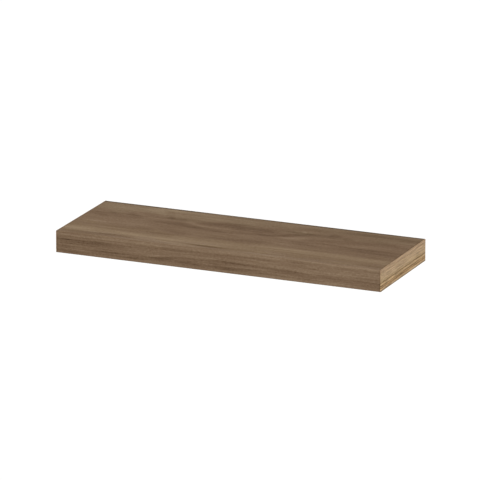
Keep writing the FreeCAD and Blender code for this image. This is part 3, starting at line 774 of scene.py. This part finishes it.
def buildFlakeTree(k):
    tree, given = startTree("proud flakes", k["inputs"])
    apart = addNode(tree, "ShaderNodeMath", {0: given["spacing"], 1: 0.001}, operation="MULTIPLY")
    # so dense that the spacing alone decides
    spots = addNode(tree, "GeometryNodeDistributePointsOnFaces", {
        "Mesh": given["Geometry"], "Distance Min": apart, "Density Max": 1e6, "Seed": given["seed"],
    }, distribute_method="POISSON")
    sliver = addNode(tree, "GeometryNodeMeshCone", {
        "Vertices": 7, "Radius Top": 0.38, "Radius Bottom": 0.5, "Depth": 1.0,
    })
    size = {}
    for axis, (name, (least, most, seed)) in zip("XYZ", k["shares"].items()):
        share = addNode(tree, "FunctionNodeRandomValue", {2: least, 3: most, "Seed": seed}).outputs[1]
        size[axis] = addNode(tree, "ShaderNodeMath", {0: share, 1: given[name]}, operation="MULTIPLY")
    scale = addNode(tree, "ShaderNodeCombineXYZ", size)
    scale = addNode(tree, "ShaderNodeVectorMath", {0: scale, "Scale": 0.001}, operation="SCALE")
    lean = addNode(tree, "FunctionNodeRandomValue", {2: -1.0, 3: 1.0, "Seed": k["leanSeed"]}).outputs[1]
    lean = addNode(tree, "ShaderNodeMath", {0: lean, 1: given["lean"]}, operation="MULTIPLY")
    turn = addNode(tree, "ShaderNodeCombineXYZ", {"X": -math.pi / 2, "Y": lean})
    placed = addNode(tree, "GeometryNodeInstanceOnPoints", {
        "Points": spots, "Instance": sliver, "Rotation": turn, "Scale": scale,
    })
    shade = addNode(tree, "FunctionNodeRandomValue", {"Seed": k["toneSeed"]}).outputs[1]
    toned = addNode(
        tree, "GeometryNodeStoreNamedAttribute", {"Geometry": placed, "Name": "tone", "Value": shade},
        data_type="FLOAT", domain="INSTANCE",
    )
    return endTree(tree, toned, given)


def makeFlakes(k):
    lo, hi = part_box("rear_rail")
    end, edge, clear, bore = (k[name] / 1000 for name in ("endClear", "edgeClear", "boreClear", "boreAcross"))
    # patches of the face left and right of each bore, and above and below it
    marks = [lo[0] + end, -bore - clear, -bore + clear, bore - clear, bore + clear, hi[0] - end]
    bottom, top = lo[2] + edge, hi[2] - edge
    patches = [(marks[i], marks[i + 1], bottom, top) for i in (0, 2, 4)]
    for i in (1, 3):
        patches += [(marks[i], marks[i + 1], bottom, -clear), (marks[i], marks[i + 1], clear, top)]
    points, faces = [], []
    for x0, x1, z0, z1 in patches:
        faces.append(tuple(range(len(points), len(points) + 4)))
        points += [(1000 * x, 1000 * hi[1], 1000 * z) for x, z in ((x1, z0), (x0, z0), (x0, z1), (x1, z1))]
    piece = newPiece("proud_flakes", points, faces)
    runTree(piece, buildFlakeTree(k), k["inputs"], makeFlakeWood(k))
    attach(piece, "board")


makeFlakes(flakes)
print("proud flakes scattered")

# Thread: a sheet rolled into a tube whose radius rises and falls along a helix, all in mm.
# side is 1 for a screw and -1 for a nut; taper is the lead-in at both ends.
threadSizes = {
    "centre": (0.0, 0.0, 0.0), "pitch": 1.0, "crest": 3.0, "root": 2.45,
    "low": -16.3, "high": -6.3, "taper": 0.8, "side": 1.0, "around": 48, "rows": 96,
}


def buildThreadTree():
    tree, given = startTree("thread", threadSizes)
    corners = addNode(tree, "ShaderNodeMath", {0: given["around"], 1: 1.0}, operation="ADD")
    sheet = addNode(tree, "GeometryNodeMeshGrid", {"Vertices X": corners, "Vertices Y": given["rows"]})
    flat = addNode(tree, "ShaderNodeSeparateXYZ", {0: addNode(tree, "GeometryNodeInputPosition")}).outputs
    turn = addNode(tree, "ShaderNodeMath", {0: flat["X"], 1: 0.5}, operation="ADD")
    height = addNode(tree, "ShaderNodeMapRange", {
        "Value": flat["Y"], "From Min": -0.5, "From Max": 0.5,
        "To Min": given["low"], "To Max": given["high"],
    })
    phase = addNode(tree, "ShaderNodeMath", {0: height, 1: given["pitch"]}, operation="DIVIDE")
    phase = addNode(tree, "ShaderNodeMath", {0: phase, 1: turn}, operation="SUBTRACT")
    wave = addNode(tree, "ShaderNodeMath", {0: phase, 1: 0.5}, operation="PINGPONG")
    # crest and root are flat for this share of the pitch each side of their middle
    land = 0.07
    flank = addNode(tree, "ShaderNodeMapRange", {
        "Value": wave, "From Min": land, "From Max": 0.5 - land,
        "To Min": given["crest"], "To Max": given["root"],
    })
    above = addNode(tree, "ShaderNodeMath", {0: height, 1: given["low"]}, operation="SUBTRACT")
    under = addNode(tree, "ShaderNodeMath", {0: given["high"], 1: height}, operation="SUBTRACT")
    nearest = addNode(tree, "ShaderNodeMath", {0: above, 1: under}, operation="MINIMUM")
    cutBack = addNode(tree, "ShaderNodeMath", {0: given["taper"], 1: nearest}, operation="SUBTRACT")
    cutBack = addNode(tree, "ShaderNodeMath", {0: cutBack, 1: 0.0}, operation="MAXIMUM")
    side = given["side"]
    limit = addNode(tree, "ShaderNodeMath", {0: given["crest"], 1: side}, operation="MULTIPLY")
    limit = addNode(tree, "ShaderNodeMath", {0: limit, 1: cutBack}, operation="SUBTRACT")
    signed = addNode(tree, "ShaderNodeMath", {0: flank, 1: side}, operation="MULTIPLY")
    signed = addNode(tree, "ShaderNodeMath", {0: signed, 1: limit}, operation="MINIMUM")
    radius = addNode(tree, "ShaderNodeMath", {0: signed, 1: side}, operation="MULTIPLY")
    angle = addNode(tree, "ShaderNodeMath", {0: turn, 1: math.tau}, operation="MULTIPLY")
    spot = {"Z": height}
    for axis, part in (("X", "COSINE"), ("Y", "SINE")):
        reach = addNode(tree, "ShaderNodeMath", {0: angle}, operation=part)
        spot[axis] = addNode(tree, "ShaderNodeMath", {0: reach, 1: radius}, operation="MULTIPLY")
    spot = addNode(tree, "ShaderNodeCombineXYZ", spot)
    spot = addNode(tree, "ShaderNodeVectorMath", {0: spot, 1: given["centre"]}, operation="ADD")
    spot = addNode(tree, "ShaderNodeVectorMath", {0: spot, "Scale": 0.001}, operation="SCALE")
    rolled = addNode(tree, "GeometryNodeSetPosition", {"Geometry": sheet, "Position": spot})
    inward = addNode(tree, "ShaderNodeMath", {0: side, 1: 0.0}, operation="LESS_THAN")
    rolled = addNode(tree, "GeometryNodeFlipFaces", {"Mesh": rolled, "Selection": inward})
    joined = addNode(tree, "GeometryNodeJoinGeometry", {"Geometry": rolled})
    tree.links.new(given["Geometry"], joined.inputs["Geometry"])
    weld = 2e-6     # metres, which closes the tube's seam and joins it to the piece's own rings
    welded = addNode(tree, "GeometryNodeMergeByDistance", {"Geometry": joined, "Distance": weld})
    return endTree(tree, welded, given)


threadTree = buildThreadTree()

# Locking screws: M6 headless screws, hexagon socket below, and the inserts that hold them, all in mm
lock = {
    "across": 200.0,        # each side of the shelf's middle
    "back": -70.0,          # from the wall
    "around": 48,           # points round a ring
    "screw": {"crest": 3.0, "root": 2.45, "low": -16.3, "high": -6.3, "taper": 0.8},
    "socketFlats": 3.0, "socketDepth": 3.5,
    "mouthWide": 0.3, "mouthDeep": 0.25,        # the chamfer at the socket's mouth
    "drillStep": 0.1, "drillPoint": 0.6, "drillFlat": 0.3,      # what the drill left at its foot
    "nut": {"crest": 2.56, "root": 3.05, "low": -19.0, "high": -8.0, "taper": 0.75, "rows": 106},
    "body": {"crest": 5.0, "root": 4.45, "pitch": 2.2, "low": -18.0, "high": -8.0, "taper": 0.8, "rows": 61},
    "flange": 6.5, "flangeTop": -18.0, "flangeEdge": 0.2,       # its radius, upper face and bevel
    "slotWidth": 1.4, "slotDepth": 0.7,         # the driver slot
    "past": 1.0,            # how far the slot's cutter stands out of the flange
    "smoothUpTo": 25.0,     # degrees between faces
}


def ring(radius, z):
    turns = [math.tau * i / lock["around"] for i in range(lock["around"])]
    return [(radius * math.cos(turn), radius * math.sin(turn), z) for turn in turns]


def hexagonRing(flats, z):
    # points on a hexagon, in the same directions as a ring's
    points = []
    for x, y, level in ring(1.0, z):
        off = math.atan2(y, x) % (math.pi / 3) - math.pi / 6
        reach = flats / 2 / math.cos(off)
        points.append((reach * x, reach * y, level))
    return points


def skinRings(rings, closeEnd=False):
    # quads from each ring to the next; closeEnd fills the last with a fan
    count = len(rings[0])
    points = [p for r in rings for p in r]
    faces = []
    for k in range(len(rings) - 1):
        for i in range(count):
            j = (i + 1) % count
            faces.append((k * count + i, k * count + j, (k + 1) * count + j, (k + 1) * count + i))
    if closeEnd:
        last = (len(rings) - 1) * count
        middle = [sum(p[axis] for p in rings[-1]) / count for axis in range(3)]
        points.append(tuple(middle))
        for i in range(count):
            faces.append((last + i, last + (i + 1) % count, len(points) - 1))
    return points, faces


def smoothFaces(piece):
    for polygon in piece.data.polygons:
        polygon.use_smooth = True
    piece.data.set_sharp_from_angle(angle=math.radians(lock["smoothUpTo"]))


def makeScrew(side, sign):
    s, centre = lock["screw"], (sign * lock["across"], lock["back"])
    end = s["crest"] - s["taper"]
    flats, foot = lock["socketFlats"], s["low"] + lock["socketDepth"]
    # from the rim of the lower end into the socket and its drilled point
    points, faces = skinRings([
        ring(end, s["low"]),
        hexagonRing(flats + lock["mouthWide"], s["low"]),
        hexagonRing(flats, s["low"] + lock["mouthDeep"]),
        hexagonRing(flats, foot),
        ring(flats / 2 - lock["drillStep"], foot),
        ring(lock["drillFlat"], foot + lock["drillPoint"]),
    ], closeEnd=True)
    tip, tipFaces = skinRings([ring(end, s["high"]), ring(end / 2, s["high"])], closeEnd=True)
    faces = [face[::-1] for face in faces]
    faces += [tuple(i + len(points) for i in face) for face in tipFaces]
    piece = newPiece(side + "_screw_threaded", points + tip, faces, centre)
    sizes = {**threadSizes, **s, "centre": (*centre, 0.0), "around": lock["around"]}
    runTree(piece, threadTree, sizes, blackSteel)
    smoothFaces(piece)
    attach(piece, side + "_lock")
    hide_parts(side + "_lock_screw")


def makeInsert(side, sign):
    nut, body, centre = lock["nut"], lock["body"], (sign * lock["across"], lock["back"])
    mouth, neck = nut["crest"] + nut["taper"], body["crest"] - body["taper"]
    edge, flange, low = lock["flangeEdge"], lock["flange"], nut["low"]
    # lower face and flange, from the bore's mouth out and up to the body
    points, faces = skinRings([
        ring(mouth, low), ring(flange - edge, low), ring(flange, low + edge),
        ring(flange, lock["flangeTop"]), ring(neck, lock["flangeTop"]),
    ])
    top, topFaces = skinRings([ring(neck, nut["high"]), ring(mouth, nut["high"])])
    faces += [tuple(i + len(points) for i in face) for face in topFaces]
    piece = newPiece(side + "_insert_threaded", points + top, faces, centre)
    for thread, inOrOut in ((body, 1.0), (nut, -1.0)):
        sizes = {**threadSizes, **thread, "centre": (*centre, 0.0), "around": lock["around"], "side": inOrOut}
        runTree(piece, threadTree, sizes, brass)
    # a driver slot across the flange
    half, reach = lock["slotWidth"] / 2, flange + lock["past"]
    z0, z1 = low - lock["past"], low + lock["slotDepth"]
    block = [(a * reach, b * half, z) for z in (z0, z1) for a, b in ((-1, -1), (1, -1), (1, 1), (-1, 1))]
    blockFaces = [(3, 2, 1, 0), (4, 5, 6, 7), (0, 1, 5, 4), (1, 2, 6, 5), (2, 3, 7, 6), (3, 0, 4, 7)]
    cutter = newPiece("slotCutter", block, blockFaces, centre)
    cutter.data.materials.append(brass)
    cut = piece.modifiers.new("slot", "BOOLEAN")
    cut.operation, cut.solver, cut.object = "DIFFERENCE", "EXACT", cutter
    settle(piece, cut)
    bpy.data.objects.remove(cutter)
    smoothFaces(piece)
    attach(piece, "board")
    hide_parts(side + "_lock_insert")


for side, sign in (("left", -1), ("right", 1)):
    makeScrew(side, sign)
    makeInsert(side, sign)
print("locking screws and inserts threaded")
